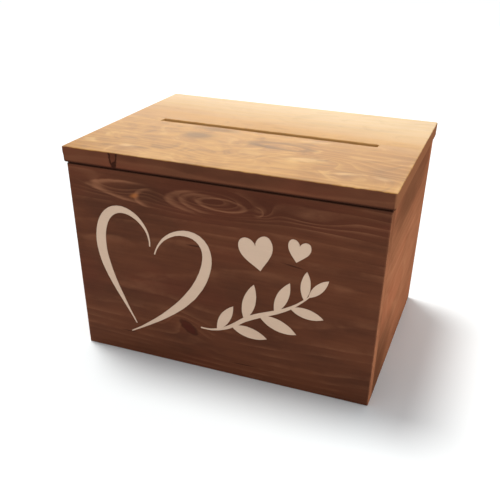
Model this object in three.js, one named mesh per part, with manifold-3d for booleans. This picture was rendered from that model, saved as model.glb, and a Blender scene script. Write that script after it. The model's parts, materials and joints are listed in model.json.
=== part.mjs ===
// Wedding card box: a butt-jointed pine box with a hinged lid, a card slot routed through the lid,
// two brass butt hinges at the back and a cream painted motif on the front.
// Millimetres, +Z up. The front faces -Y. The origin is under the middle of the whole object.
import * as THREE from 'three';
import { mergeVertices } from 'three/addons/utils/BufferGeometryUtils.js';
import { RoundedBoxGeometry } from 'three/addons/geometries/RoundedBoxGeometry.js';
import Module from 'manifold-3d';

// Driving dimensions
const BOARD = 18;
const LID_WIDTH = 370;
const LID_DEPTH = 280;
const OVERHANG = 2.5;
const WALL_HEIGHT = 236;
const SEAM = 0.8;
const BASE_THICKNESS = 12;
const EDGE_RADIUS = 1.2;
const LID_UNDER_RADIUS = 2.5;

const SLOT_LENGTH = 272;
const SLOT_WIDTH = 10.5;
const SLOT_CORNER = 1.5;
const SLOT_BEHIND_MIDDLE = 5;

const HINGE_LENGTH = 50;
const HINGE_SPACING = 230;
const LEAF_HEIGHT = 16;
const LEAF_THICKNESS = 1.2;
const KNUCKLES = 5;
const KNUCKLE_RADIUS = 2.8;
const KNUCKLE_GAP = 0.3;
const PIN_RADIUS = 1.25;
const PIN_CLEARANCE = 0.09;

const SCREW_HEAD_RADIUS = 2.6;
const SCREW_RADIUS = 1.45;
const SCREW_LENGTH = 16;
const SCREW_PITCH = 18;
const SCREW_DROP = 9.5;

const BRAD_RADIUS = 0.6;
const BRAD_HEAD_RADIUS = 1;
const BRAD_SET = 1.5;
const CORNER_BRAD_LENGTH = 45;
const BASE_BRAD_LENGTH = 32;
const HOLE_CLEARANCE = 0.15;

const MOTIF_THICKNESS = 0.3;

// Sizes and places that follow from them
const HINGE_STAND_OFF = KNUCKLE_RADIUS + KNUCKLE_GAP;
const HINGE_PROJECTION = HINGE_STAND_OFF + KNUCKLE_RADIUS;
const LID_FRONT = -(LID_DEPTH + HINGE_PROJECTION) / 2;
const BACK = LID_FRONT + LID_DEPTH;
const FRONT = LID_FRONT + OVERHANG;
const BOX_WIDTH = LID_WIDTH - 2 * OVERHANG;
const BOX_DEPTH = BACK - FRONT;
const INNER_WIDTH = BOX_WIDTH - 2 * BOARD;
const INNER_DEPTH = BOX_DEPTH - 2 * BOARD;
const LID_BOTTOM = WALL_HEIGHT + SEAM;
const PIN_Y = BACK + HINGE_STAND_OFF;
const PIN_Z = WALL_HEIGHT + SEAM / 2;
const SLOT_Y = LID_FRONT + LID_DEPTH / 2 + SLOT_BEHIND_MIDDLE;

const PINE_STAINED = { color: 0x57352a, roughness: 0.55, metalness: 0 };
const PINE_SIDE = { color: 0x8a5a41, roughness: 0.5, metalness: 0 };
const PINE_HONEY = { color: 0xd9b087, roughness: 0.4, metalness: 0 };
const PLYWOOD = { color: 0x9a7450, roughness: 0.7, metalness: 0 };
const CREAM_PAINT = { color: 0xc9b097, roughness: 0.65, metalness: 0 };
const BRASS = { color: 0xb08d4f, roughness: 0.35, metalness: 1 };
const STEEL = { color: 0x9a9a98, roughness: 0.4, metalness: 1 };

const wasm = await Module();
wasm.setup();

// Solids
function toSolid(geometry) {
  const bare = geometry.clone();
  bare.deleteAttribute('normal');
  bare.deleteAttribute('uv');
  const merged = mergeVertices(bare, 1e-4);
  return new wasm.Manifold(new wasm.Mesh({
    numProp: 3,
    vertProperties: new Float32Array(merged.attributes.position.array),
    triVerts: new Uint32Array(merged.index.array),
  }));
}

function toGeometry(solid) {
  const mesh = solid.getMesh();
  const geometry = new THREE.BufferGeometry();
  geometry.setAttribute('position', new THREE.BufferAttribute(mesh.vertProperties, 3));
  geometry.setIndex(new THREE.BufferAttribute(mesh.triVerts, 1));
  geometry.computeVertexNormals();
  return geometry;
}

function cut(geometry, tools) {
  const solid = tools.reduce((rest, tool) => rest.subtract(toSolid(tool)), toSolid(geometry));
  return toGeometry(solid);
}

function join(geometries) {
  const solid = geometries.map(toSolid).reduce((whole, piece) => whole.add(piece));
  return toGeometry(solid);
}

function extrude(shape, depth, curveSegments = 8) {
  return new THREE.ExtrudeGeometry(shape, { depth, curveSegments, bevelEnabled: false });
}

// A profile drawn in Y and Z, extruded along X from the given start.
function extrudeAlongX(shape, start, length) {
  const turn = new THREE.Matrix4().makeBasis(
    new THREE.Vector3(0, 1, 0), new THREE.Vector3(0, 0, 1), new THREE.Vector3(1, 0, 0));
  return extrude(shape, length, 12).applyMatrix4(turn).translate(start, 0, 0);
}

function box(x0, x1, y0, y1, z0, z1) {
  const geometry = new THREE.BoxGeometry(x1 - x0, y1 - y0, z1 - z0);
  return geometry.translate((x0 + x1) / 2, (y0 + y1) / 2, (z0 + z1) / 2);
}

// A solid of revolution about Y whose head is at y = 0 and whose tip points to -Y.
function turned(profile, segments) {
  const points = profile.map(([radius, y]) => new THREE.Vector2(radius, y));
  return new THREE.LatheGeometry(points, segments);
}

// Fasteners, each with its head at the origin and its tip towards -Y.
// The spare is the clearance that the same profile needs as a hole.
function screwProfile(spare = 0) {
  const headDepth = 1.3;
  const pointLength = 4;
  return turned([
    [0, -SCREW_LENGTH - spare],
    [SCREW_RADIUS * 0.3 + spare, -SCREW_LENGTH - spare],
    [SCREW_RADIUS + spare, pointLength - SCREW_LENGTH],
    [SCREW_RADIUS + spare, -headDepth - spare],
    [SCREW_HEAD_RADIUS + spare, spare > 0 ? 0 : -0.1],
    [SCREW_HEAD_RADIUS + spare, spare],
    [0, spare],
  ], 12);
}

function bradProfile(length, spare = 0, lead = 0) {
  const headDepth = 0.8;
  const pointLength = 2;
  const tipRadius = BRAD_RADIUS / 3;
  return turned([
    [0, -length - spare],
    [tipRadius + spare, -length - spare],
    [BRAD_RADIUS + spare, pointLength - length],
    [BRAD_RADIUS + spare, -headDepth - spare],
    [BRAD_HEAD_RADIUS + spare, -headDepth - spare],
    [BRAD_HEAD_RADIUS + spare, lead],
    [0, lead],
  ], 6);
}

// Turns a fastener that points to -Y so that it points along the given direction, and places it.
function drive(geometry, at, direction) {
  const turn = new THREE.Quaternion().setFromUnitVectors(new THREE.Vector3(0, -1, 0), direction);
  return geometry.applyQuaternion(turn).translate(at.x, at.y, at.z);
}

// Brads that nail the walls together and hold the base, set just under the outer faces.
function bradPlan() {
  const intoBack = new THREE.Vector3(0, 1, 0);
  const intoFront = new THREE.Vector3(0, -1, 0);
  const endWalls = [
    { wall: 'front', y: FRONT + BRAD_SET, direction: intoBack },
    { wall: 'back', y: BACK - BRAD_SET, direction: intoFront },
  ];
  const sides = [
    { side: 'left', sign: -1 },
    { side: 'right', sign: 1 },
  ];
  const plan = [];
  for (const { wall, y, direction } of endWalls) {
    for (const { side, sign } of sides) {
      const x = sign * (BOX_WIDTH - BOARD) / 2;
      [0.15, 0.5, 0.85].forEach((share, row) => plan.push({
        name: `${wall}_${side}_corner_brad_${row + 1}`,
        at: new THREE.Vector3(x, y, share * WALL_HEIGHT),
        direction,
        length: CORNER_BRAD_LENGTH,
      }));
      plan.push({
        name: `${wall}_${side}_base_brad`,
        at: new THREE.Vector3(sign * INNER_WIDTH / 3, y, BASE_THICKNESS / 2),
        direction,
        length: BASE_BRAD_LENGTH,
      });
    }
  }
  for (const { side, sign } of sides) {
    [-1, 1].forEach((step, index) => plan.push({
      name: `${side}_wall_base_brad_${index + 1}`,
      at: new THREE.Vector3(
        sign * (BOX_WIDTH / 2 - BRAD_SET),
        (FRONT + BACK) / 2 + step * INNER_DEPTH / 4,
        BASE_THICKNESS / 2),
      direction: new THREE.Vector3(-sign, 0, 0),
      length: BASE_BRAD_LENGTH,
    }));
  }
  return plan;
}

// Three screws through each leaf of each hinge.
function screwPlan() {
  const plan = [];
  const leaves = [
    { leaf: 'box', z: PIN_Z - SCREW_DROP },
    { leaf: 'lid', z: PIN_Z + SCREW_DROP },
  ];
  for (const { hinge, x } of hingePlaces()) {
    for (const { leaf, z } of leaves) {
      [-1, 0, 1].forEach((step, index) => plan.push({
        name: `${hinge}_hinge_${leaf}_screw_${index + 1}`,
        leaf,
        at: new THREE.Vector3(x + step * SCREW_PITCH, BACK + LEAF_THICKNESS, z),
        direction: new THREE.Vector3(0, -1, 0),
      }));
    }
  }
  return plan;
}

function hingePlaces() {
  return [
    { hinge: 'left', x: -HINGE_SPACING / 2 },
    { hinge: 'right', x: HINGE_SPACING / 2 },
  ];
}

const brads = bradPlan();
const screws = screwPlan();

function bradHole({ at, direction, length }) {
  const lead = BRAD_SET + 1;
  return drive(bradProfile(length, HOLE_CLEARANCE, lead), at, direction);
}

function screwHole({ at, direction }) {
  return drive(screwProfile(HOLE_CLEARANCE), at, direction);
}

const holes = [...brads.map(bradHole), ...screws.map(screwHole)];

function boundsOf(geometry) {
  return new THREE.Box3().setFromBufferAttribute(geometry.attributes.position);
}

// The piece with a hole wherever a fastener passes through it.
function drilled(geometry) {
  const bounds = boundsOf(geometry);
  return cut(geometry, holes.filter((hole) => boundsOf(hole).intersectsBox(bounds)));
}

// Walls. The front and back boards run the full width and cover the ends of the side boards.
function endWallShape(outerY, innerY) {
  const half = BOX_WIDTH / 2;
  const inward = Math.sign(innerY - outerY);
  const shape = new THREE.Shape();
  shape.moveTo(-half, innerY);
  shape.lineTo(-half, outerY + inward * EDGE_RADIUS);
  shape.quadraticCurveTo(-half, outerY, -half + EDGE_RADIUS, outerY);
  shape.lineTo(half - EDGE_RADIUS, outerY);
  shape.quadraticCurveTo(half, outerY, half, outerY + inward * EDGE_RADIUS);
  shape.lineTo(half, innerY);
  shape.closePath();
  return shape;
}

function endPanel(outerY, innerY) {
  return drilled(extrude(endWallShape(outerY, innerY), WALL_HEIGHT, 4));
}

function sidePanel(sign) {
  const outer = sign * BOX_WIDTH / 2;
  const inner = outer - sign * BOARD;
  const low = Math.min(outer, inner);
  const high = Math.max(outer, inner);
  return drilled(box(low, high, FRONT + BOARD, BACK - BOARD, 0, WALL_HEIGHT));
}

function basePanel() {
  const half = INNER_WIDTH / 2;
  return drilled(box(-half, half, FRONT + BOARD, BACK - BOARD, 0, BASE_THICKNESS));
}

// Lid. Its lower edges are rounded over until they meet the planes of the walls.
function slotShape() {
  const halfLength = SLOT_LENGTH / 2;
  const halfWidth = SLOT_WIDTH / 2;
  const x = halfLength - SLOT_CORNER;
  const y = halfWidth - SLOT_CORNER;
  const shape = new THREE.Shape();
  shape.moveTo(-x, -halfWidth);
  shape.lineTo(x, -halfWidth);
  shape.absarc(x, -y, SLOT_CORNER, -Math.PI / 2, 0);
  shape.lineTo(halfLength, y);
  shape.absarc(x, y, SLOT_CORNER, 0, Math.PI / 2);
  shape.lineTo(-x, halfWidth);
  shape.absarc(-x, y, SLOT_CORNER, Math.PI / 2, Math.PI);
  shape.lineTo(-halfLength, -y);
  shape.absarc(-x, -y, SLOT_CORNER, Math.PI, 3 * Math.PI / 2);
  return shape;
}

// A board of the lid's width and depth that starts at its underside, with every edge rounded.
function lidBlank(height, radius) {
  const blank = new RoundedBoxGeometry(LID_WIDTH, LID_DEPTH, height, 2, radius);
  return blank.translate(0, LID_FRONT + LID_DEPTH / 2, LID_BOTTOM + height / 2);
}

function lidBoard() {
  const crisp = toSolid(lidBlank(BOARD, EDGE_RADIUS));
  const rounded = toSolid(lidBlank(BOARD + 2 * LID_UNDER_RADIUS, LID_UNDER_RADIUS));
  const board = toGeometry(crisp.intersect(rounded));
  const slot = extrude(slotShape(), BOARD + 2, 3).translate(0, SLOT_Y, LID_BOTTOM - 1);
  return drilled(cut(board, [slot]));
}

// Hinges. Each leaf is a plate with a rolled knuckle at every other place along the pin.
function knuckleSpans(leaf) {
  const step = HINGE_LENGTH / KNUCKLES;
  const first = leaf === 'box' ? 0 : 1;
  const spans = [];
  for (let index = first; index < KNUCKLES; index += 2) {
    const start = -HINGE_LENGTH / 2 + index * step + KNUCKLE_GAP / 2;
    spans.push({ start, length: step - KNUCKLE_GAP });
  }
  return spans;
}

function knuckleShape() {
  const shape = new THREE.Shape();
  shape.absarc(PIN_Y, PIN_Z, KNUCKLE_RADIUS, 0, 2 * Math.PI);
  const bore = new THREE.Path();
  bore.absarc(PIN_Y, PIN_Z, PIN_RADIUS + PIN_CLEARANCE, 0, 2 * Math.PI);
  shape.holes.push(bore);
  return shape;
}

function hingeLeaf(leaf, x) {
  const away = leaf === 'box' ? -1 : 1;
  const clear = PIN_Z + away * (HINGE_STAND_OFF + KNUCKLE_GAP);
  const far = PIN_Z + away * LEAF_HEIGHT;
  const half = HINGE_LENGTH / 2;
  const plateTop = BACK + LEAF_THICKNESS;
  const plate = box(x - half, x + half, BACK, plateTop, Math.min(clear, far), Math.max(clear, far));
  const pieces = [plate];
  for (const { start, length } of knuckleSpans(leaf)) {
    const low = Math.min(PIN_Z, clear + away);
    const high = Math.max(PIN_Z, clear + away);
    pieces.push(box(x + start, x + start + length, BACK, plateTop, low, high));
    pieces.push(extrudeAlongX(knuckleShape(), x + start, length));
  }
  return drilled(join(pieces));
}

function hingePin(x) {
  const half = HINGE_LENGTH / 2;
  const headRadius = PIN_RADIUS * 1.5;
  const headHeight = 0.8;
  const seat = half + KNUCKLE_GAP / 2;
  const pin = turned([
    [0, -seat],
    [PIN_RADIUS - 0.2, -seat],
    [PIN_RADIUS, 0.4 - seat],
    [PIN_RADIUS, seat],
    [headRadius, seat],
    [headRadius, seat + headHeight / 2],
    [headRadius / 2, seat + headHeight],
    [0, seat + headHeight],
  ], 24);
  return pin.rotateZ(-Math.PI / 2).translate(x, PIN_Y, PIN_Z);
}

// Painted motif: an open heart in two brush strokes, a leafy branch and two small solid hearts.
function onFront(shape) {
  const turn = new THREE.Matrix4().makeBasis(
    new THREE.Vector3(1, 0, 0), new THREE.Vector3(0, 0, 1), new THREE.Vector3(0, -1, 0));
  return extrude(shape, MOTIF_THICKNESS, 10).applyMatrix4(turn).translate(0, FRONT, 0);
}

function curveThrough(start, ...bends) {
  const path = new THREE.CurvePath();
  let from = start;
  for (const [first, second, end] of bends) {
    const points = [from, first, second, end].map(([x, z]) => new THREE.Vector2(x, z));
    path.add(new THREE.CubicBezierCurve(...points));
    from = end;
  }
  return path;
}

// A brush stroke along a curve: thin where it starts and ends and widest where it bears down.
function brushStroke(curve, thin, thick, steps) {
  const left = [];
  const right = [];
  for (let index = 0; index <= steps; index += 1) {
    const t = index / steps;
    const point = curve.getPointAt(t);
    const tangent = curve.getTangentAt(t);
    const half = (thin + (thick - thin) * Math.sin(Math.PI * t) ** 1.5) / 2;
    const side = new THREE.Vector2(-tangent.y, tangent.x).multiplyScalar(half);
    left.push(point.clone().add(side));
    right.unshift(point.clone().sub(side));
  }
  return new THREE.Shape([...left, ...right]);
}

function tilted(points, angle, scale, [x, z]) {
  const turn = (([px, pz]) => [
    x + scale * (px * Math.cos(angle) - pz * Math.sin(angle)),
    z + scale * (px * Math.sin(angle) + pz * Math.cos(angle)),
  ]);
  return points.map(turn);
}

const HEART_TILT = -0.22;
const HEART_CENTRE = [-88, 122];
const HEART_SCALE = 1.22;
const STROKE_THIN = 1.4;
const STROKE_THICK = 12.5;
const LEAF_PLACES = 7;

function heartHalf(points) {
  const [start, a, b, middle, c, d, end] = tilted(points, HEART_TILT, HEART_SCALE, HEART_CENTRE);
  const curve = curveThrough(start, [a, b, middle], [c, d, end]);
  return onFront(brushStroke(curve, STROKE_THIN, STROKE_THICK, 44));
}

function heartLeftStroke() {
  return heartHalf([[-3, 24], [-6, 52], [-50, 64], [-54, 26], [-57, -8], [-28, -36], [-4, -66]]);
}

function heartRightStroke() {
  return heartHalf([[3, 18], [6, 54], [52, 66], [55, 30], [57, -6], [30, -42], [-8, -78]]);
}

function leafShape([x, z], angle, length, width) {
  const outline = [[0, 0], [0.3, 0.5], [0.7, 0.45], [1, 0], [0.7, -0.45], [0.3, -0.5]];
  const scaled = outline.map(([along, across]) => [along * length, across * width]);
  const [base, a, b, tip, c, d] = tilted(scaled, angle, 1, [x, z]);
  const shape = new THREE.Shape();
  shape.moveTo(...base);
  shape.bezierCurveTo(...a, ...b, ...tip);
  shape.bezierCurveTo(...c, ...d, ...base);
  return shape;
}

function branch() {
  const stem = curveThrough([-24, 58], [[-8, 56], [8, 62], [26, 77]], [[48, 95], [80, 96], [106, 127]]);
  const leafAt = (t, lean, length) => {
    const point = stem.getPointAt(t);
    const tangent = stem.getTangentAt(t);
    const angle = Math.atan2(tangent.y, tangent.x) + lean;
    return onFront(leafShape([point.x, point.y], angle, length, length * 0.44));
  };
  const pieces = [onFront(brushStroke(stem, 1.6, 6, 44))];
  for (let index = 0; index < LEAF_PLACES; index += 1) {
    const t = 0.14 + 0.8 * index / (LEAF_PLACES - 1);
    const lean = index % 2 === 0 ? 0.75 : -0.75;
    pieces.push(leafAt(t, lean, 50 - 30 * Math.abs(t - 0.45)));
  }
  pieces.push(leafAt(0.985, 0, 32));
  return join(pieces);
}

function smallHeart(centre, scale, angle) {
  const points = [[0, 5], [1, 13], [13, 16], [14, 6], [15, -3], [6, -9], [0, -16],
    [-6, -9], [-15, -3], [-14, 6], [-13, 16], [-1, 13]];
  const [cleft, a, b, right, c, d, tip, e, f, left, g, h] = tilted(points, angle, scale, centre);
  const shape = new THREE.Shape();
  shape.moveTo(...cleft);
  shape.bezierCurveTo(...a, ...b, ...right);
  shape.bezierCurveTo(...c, ...d, ...tip);
  shape.bezierCurveTo(...e, ...f, ...left);
  shape.bezierCurveTo(...g, ...h, ...cleft);
  return onFront(shape);
}

// Assembly
const cardBox = new THREE.Group();
const lid = new THREE.Group();
cardBox.add(lid);

function add(group, name, geometry, finish) {
  const mesh = new THREE.Mesh(geometry, new THREE.MeshStandardMaterial(finish));
  mesh.name = name;
  group.add(mesh);
}

add(cardBox, 'front_panel', endPanel(FRONT, FRONT + BOARD), PINE_STAINED);
add(cardBox, 'back_panel', endPanel(BACK, BACK - BOARD), PINE_STAINED);
add(cardBox, 'left_side_panel', sidePanel(-1), PINE_SIDE);
add(cardBox, 'right_side_panel', sidePanel(1), PINE_SIDE);
add(cardBox, 'base_panel', basePanel(), PLYWOOD);
add(lid, 'lid_board', lidBoard(), PINE_HONEY);

for (const { hinge, x } of hingePlaces()) {
  add(cardBox, `${hinge}_hinge_box_leaf`, hingeLeaf('box', x), BRASS);
  add(lid, `${hinge}_hinge_lid_leaf`, hingeLeaf('lid', x), BRASS);
  add(cardBox, `${hinge}_hinge_pin`, hingePin(x), BRASS);
}

for (const { name, leaf, at, direction } of screws) {
  add(leaf === 'lid' ? lid : cardBox, name, drive(screwProfile(), at, direction), BRASS);
}

for (const { name, at, direction, length } of brads) {
  add(cardBox, name, drive(bradProfile(length), at, direction), STEEL);
}

add(cardBox, 'motif_heart_left_stroke', heartLeftStroke(), CREAM_PAINT);
add(cardBox, 'motif_heart_right_stroke', heartRightStroke(), CREAM_PAINT);
add(cardBox, 'motif_branch', branch(), CREAM_PAINT);
add(cardBox, 'motif_large_solid_heart', smallHeart([44, 168], 1.4, 0.22), CREAM_PAINT);
add(cardBox, 'motif_small_solid_heart', smallHeart([91, 178], 0.9, -0.15), CREAM_PAINT);

export default cardBox;
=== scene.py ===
"""A wedding card box: stained pine boards, a honey-toned hinged lid with a card slot, brass hinges
at the back and a painted heart and branch on the front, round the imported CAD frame. Metres."""

import json
import math

import bmesh
import bpy
from mathutils import Matrix, Vector, noise


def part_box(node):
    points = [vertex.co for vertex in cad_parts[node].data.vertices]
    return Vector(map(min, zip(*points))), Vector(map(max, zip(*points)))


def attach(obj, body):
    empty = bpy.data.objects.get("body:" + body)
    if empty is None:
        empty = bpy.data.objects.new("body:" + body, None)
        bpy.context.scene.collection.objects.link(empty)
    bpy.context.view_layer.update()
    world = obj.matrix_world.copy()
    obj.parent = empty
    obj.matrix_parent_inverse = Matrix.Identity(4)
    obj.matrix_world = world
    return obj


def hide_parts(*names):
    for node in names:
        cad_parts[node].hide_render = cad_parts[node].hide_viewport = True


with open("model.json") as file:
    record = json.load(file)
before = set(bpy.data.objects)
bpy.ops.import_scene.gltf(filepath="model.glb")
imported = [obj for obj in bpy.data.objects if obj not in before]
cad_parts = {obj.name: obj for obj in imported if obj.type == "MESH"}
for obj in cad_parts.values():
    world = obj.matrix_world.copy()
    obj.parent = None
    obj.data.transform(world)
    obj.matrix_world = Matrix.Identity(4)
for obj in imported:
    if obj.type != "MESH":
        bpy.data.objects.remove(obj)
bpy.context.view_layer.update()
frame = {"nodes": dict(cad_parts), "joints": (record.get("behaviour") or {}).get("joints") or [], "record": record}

MM = 0.001
FRONT_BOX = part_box("front_panel")
LID_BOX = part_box("lid_board")
FRONT_FACE = FRONT_BOX[0].y
HINGE_AXIS = Vector(frame["joints"][0]["pos_m"])

CAMERA_PLACE = (0.2656, -0.7470, 0.4730)
CAMERA_AIM = (-0.2835, 0.8022, -0.5254)
CAMERA_ROLL = math.radians(1.455)
SUN_AIM = (0.32, -0.16, -1.0)
LIGHTS_AIM = (0, 0, 0.12)

BOARD_CELL = 5 * MM
SHOWN_RADIUS = 1.2 * MM
SAWN_RADIUS = 0.5 * MM
LID_UNDER_RADIUS = 2.5 * MM
SLOT_CORNER = 1.5 * MM
SLOT_FLARE = 0.6 * MM
# The slot reaches past the record's opening by about this much at each side.
SLOT_MARGIN = Vector((4 * MM, 0.3 * MM, 0))
# 1 less the cosine of 45 degrees: how far the way out of a rounded edge leans from a face.
EDGE_LEAN = 0.293

HINGE_THICKNESS = 1.2 * MM
KNUCKLES = 5
KNUCKLE_GAP = 0.3 * MM
SCREWS_PER_LEAF = (1, 2, 3)

# How deep behind the shown face of a board the pith of its log lies.
PITH_DEPTH = 0.09
LID_PITH_DEPTH = 0.085
BASE_PITH_DEPTH = 0.05
# How far the rings are apart.
WALL_RINGS = 7 * MM
LID_RINGS = 9 * MM
PAINTED_RINGS = 6.5 * MM


# Camera and light

def place_camera():
    """The camera looks down at the front right corner, with the horizon a little out of level."""
    data = bpy.data.cameras.new("camera")
    data.lens = 47.88
    data.sensor_width = 36.0
    data.shift_x = -0.022
    data.shift_y = 0.154
    data.clip_start = 0.01
    camera = bpy.data.objects.new("camera", data)
    bpy.context.scene.collection.objects.link(camera)
    camera.location = CAMERA_PLACE
    turn = Vector(CAMERA_AIM).to_track_quat("-Z", "Y")
    camera.rotation_mode = "QUATERNION"
    camera.rotation_quaternion = turn @ Matrix.Rotation(CAMERA_ROLL, 3, "Z").to_quaternion()
    bpy.context.scene.camera = camera


def area_light(name, place, target, size, power, colour):
    data = bpy.data.lights.new(name, "AREA")
    data.shape = "RECTANGLE"
    data.size, data.size_y = size
    data.energy = power
    data.color = colour
    light = bpy.data.objects.new(name, data)
    light.location = place
    light.rotation_mode = "QUATERNION"
    light.rotation_quaternion = (Vector(target) - Vector(place)).to_track_quat("-Z", "Y")
    bpy.context.scene.collection.objects.link(light)


def light_scene():
    """A white backdrop for the camera, a dimmer surround for the light, a soft sun and two panels."""
    world = bpy.data.worlds.new("studio")
    world.use_nodes = True
    tree = world.node_tree
    surround = tree.nodes["Background"]
    surround.inputs["Color"].default_value = (0.985, 0.99, 1.0, 1)
    surround.inputs["Strength"].default_value = 0.47
    backdrop = tree.nodes.new("ShaderNodeBackground")
    backdrop.inputs["Color"].default_value = (1.0, 1.0, 1.0, 1)
    backdrop.inputs["Strength"].default_value = 1.0
    seen = tree.nodes.new("ShaderNodeLightPath").outputs["Is Camera Ray"]
    either = tree.nodes.new("ShaderNodeMixShader")
    tree.links.new(seen, either.inputs[0])
    tree.links.new(surround.outputs[0], either.inputs[1])
    tree.links.new(backdrop.outputs[0], either.inputs[2])
    tree.links.new(either.outputs[0], tree.nodes["World Output"].inputs["Surface"])
    bpy.context.scene.world = world
    sky = bpy.data.lights.new("overhead", "SUN")
    sky.energy = 2.35
    sky.angle = math.radians(19)
    sky.color = (1.0, 0.98, 0.94)
    overhead = bpy.data.objects.new("overhead", sky)
    overhead.rotation_mode = "QUATERNION"
    overhead.rotation_quaternion = Vector(SUN_AIM).to_track_quat("-Z", "Y")
    bpy.context.scene.collection.objects.link(overhead)
    area_light("behind", (-0.85, 2.9, 0.72), LIGHTS_AIM, (2.6, 0.5), 33, (1.0, 0.93, 0.82))
    area_light("right", (2.2, -0.3, 0.6), LIGHTS_AIM, (1.4, 0.8), 12, (1.0, 0.92, 0.82))
    bpy.context.scene.view_settings.view_transform = "Standard"


# Meshes

def make_object(name, mesh, material):
    piece = bpy.data.objects.new(name, mesh)
    bpy.context.scene.collection.objects.link(piece)
    if material:
        mesh.materials.append(material)
    return piece


def mesh_from(name, vertices, faces):
    mesh = bpy.data.meshes.new(name)
    mesh.from_pydata(vertices, [], faces)
    mesh.validate()
    mesh.update()
    return mesh


def smooth(piece, angle=35):
    piece.data.shade_smooth()
    piece.data.set_sharp_from_angle(angle=math.radians(angle))
    weighted = piece.modifiers.new("weighted normals", "WEIGHTED_NORMAL")
    weighted.keep_sharp = True


def combined(piece, tool, operation):
    """The piece after a boolean with the tool, which is used up."""
    modifier = piece.modifiers.new(operation, "BOOLEAN")
    modifier.operation = operation
    modifier.object = tool
    modifier.solver = "EXACT"
    graph = bpy.context.evaluated_depsgraph_get()
    mesh = bpy.data.meshes.new_from_object(piece.evaluated_get(graph))
    piece.modifiers.clear()
    old = piece.data
    piece.data = mesh
    bpy.data.meshes.remove(old)
    tool_mesh = tool.data
    bpy.data.objects.remove(tool)
    bpy.data.meshes.remove(tool_mesh)
    return piece


def edge_stops(low, high, low_radius, high_radius):
    """Places along one side of a board: close together round the corners, even in between."""
    first, last = low + low_radius, high - high_radius
    count = max(1, round((last - first) / BOARD_CELL))
    inner = [first + (last - first) * index / count for index in range(count + 1)]
    turns = [math.tan(math.radians(angle)) for angle in (15, 30, 45)]
    return [first - low_radius * t for t in reversed(turns)] + inner + [last + high_radius * t for t in turns]


def rounded_board(name, low, high, radius, wear=0.3 * MM, seed=0.0, under=None):
    """A board with rounded edges, each worn inwards by a slightly different amount along its length.
    The lower half may have a larger radius of its own, for its lower edges and its upright ones."""
    under = under or radius
    stops = [edge_stops(low[axis], high[axis], radius, radius) for axis in range(2)]
    stops.append(edge_stops(low[2], high[2], under, radius))
    last = [len(line) - 1 for line in stops]
    middle = (low[2] + high[2]) / 2
    vertices, index_of = [], {}

    def vertex(key):
        if key not in index_of:
            point = Vector([stops[axis][key[axis]] for axis in range(3)])
            reach = under if point.z < middle else radius
            if reach > radius:
                for axis in range(2):
                    if point[axis] < low[axis] + radius:
                        point[axis] = low[axis] + (point[axis] - low[axis]) * reach / radius
                    if point[axis] > high[axis] - radius:
                        point[axis] = high[axis] - (high[axis] - point[axis]) * reach / radius
            core = Vector([min(max(point[a], low[a] + reach), high[a] - reach) for a in range(3)])
            way = (point - core).normalized()
            on_edge = (1 - max(abs(part) for part in way)) / EDGE_LEAN
            dents = 0.5 + 0.5 * noise.noise(point * 55 + Vector((seed, 0, 0)))
            dents += 0.6 * max(0, noise.noise(point * 160 + Vector((0, seed, 0))))
            index_of[key] = len(vertices)
            vertices.append(core + way * (reach - wear * min(1, on_edge) * dents))
        return index_of[key]

    faces = []
    for axis in range(3):
        u, v = (axis + 1) % 3, (axis + 2) % 3
        for side in (0, last[axis]):
            for i in range(last[u]):
                for j in range(last[v]):
                    corners = []
                    for di, dj in ((0, 0), (1, 0), (1, 1), (0, 1)):
                        key = [0, 0, 0]
                        key[axis], key[u], key[v] = side, i + di, j + dj
                        corners.append(vertex(tuple(key)))
                    faces.append(corners if side else corners[::-1])
    return mesh_from(name, vertices, faces)


def slot_cutter(low, high, corner, flare):
    """A long cutter with rounded corners. It flares at its top and bottom, which rounds the slot's edges."""
    quarter = [math.radians(angle) for angle in (0, 22.5, 45, 67.5, 90)]
    levels = [(low.z - flare, flare)]
    levels += [(low.z + flare * math.sin(t), flare * (1 - math.sin(t))) for t in quarter]
    levels += [(high.z - flare * math.sin(t), flare * (1 - math.sin(t))) for t in reversed(quarter)]
    levels += [(high.z + flare, flare)]
    corners = ((high.x, high.y, 0), (low.x, high.y, 90), (low.x, low.y, 180), (high.x, low.y, 270))
    vertices, faces = [], []
    for z, spread in levels:
        for x, y, start in corners:
            centre_x = x - corner if start in (0, 270) else x + corner
            centre_y = y - corner if start in (0, 90) else y + corner
            for angle in range(start, start + 91, 15):
                turn = math.radians(angle)
                vertices.append((centre_x + (corner + spread) * math.cos(turn),
                                 centre_y + (corner + spread) * math.sin(turn), z))
    ring = len(vertices) // len(levels)
    for level in range(len(levels) - 1):
        for step in range(ring):
            a, b = level * ring + step, level * ring + (step + 1) % ring
            faces.append((a, b, b + ring, a + ring))
    faces.append(tuple(reversed(range(ring))))
    faces.append(tuple(range(len(vertices) - ring, len(vertices))))
    return make_object("slot cutter", mesh_from("slot cutter", vertices, faces), None)


# Procedural materials

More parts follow.
